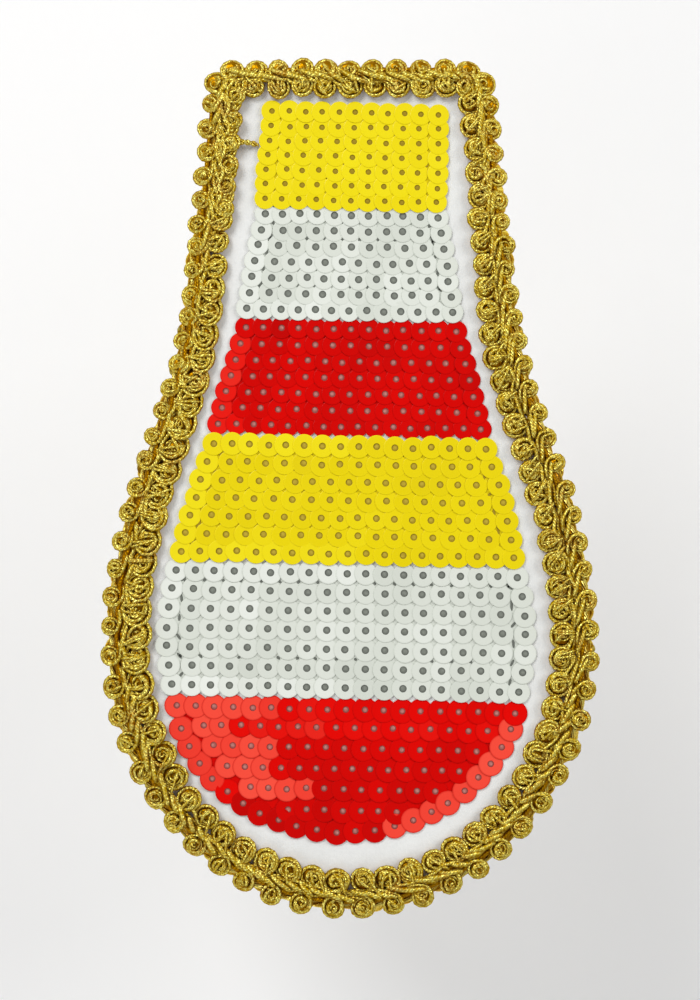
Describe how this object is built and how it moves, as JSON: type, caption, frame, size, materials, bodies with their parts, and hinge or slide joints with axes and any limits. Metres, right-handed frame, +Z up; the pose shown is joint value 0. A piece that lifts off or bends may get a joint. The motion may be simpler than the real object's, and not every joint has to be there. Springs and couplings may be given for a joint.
{
  "type": "sequinned shoulder epaulette with cord fringe",
  "caption": "Keyhole-shaped felt epaulette with bands of yellow, white and red sequins, a looped gold braid round its edge and a hanging fringe of twisted gold cords.",
  "frame": {"origin": "middle of the board's underside, where it lies on the shoulder", "axes": "+X toward the narrow neck end, -X toward the round outer end, +Z up out of the sequinned face, -Y toward the wearer's front"},
  "size_m": [0.2178, 0.1326, 0.0888],
  "materials": {
    "white_felt": "stiff white felt, matt",
    "sequins_yellow": "opaque lemon yellow film, slightly glossy",
    "sequins_white": "opaque white film, slightly glossy",
    "sequins_red": "glossy red film",
    "gold_braid": "gold metallic thread, loosely wound, glinting",
    "gold_cord": "gold metallic yarn laid into satin-smooth twisted cord"
  },
  "bodies": {
    "root": {"backing_board": "white_felt", "sequin_band_1_yellow": "sequins_yellow", "sequin_band_2_white": "sequins_white", "sequin_band_3_red": "sequins_red", "sequin_band_4_yellow": "sequins_yellow", "sequin_band_5_white": "sequins_white", "sequin_band_6_red": "sequins_red", "loop_braid": "gold_braid", "fringe_back_end_cord": "gold_cord", "fringe_back_neck": "gold_cord", "fringe_back_side": "gold_cord", "fringe_round_end": "gold_cord", "fringe_front_side": "gold_cord", "fringe_front_neck": "gold_cord", "fringe_front_end_cord": "gold_cord"}
  },
  "joints": []
}
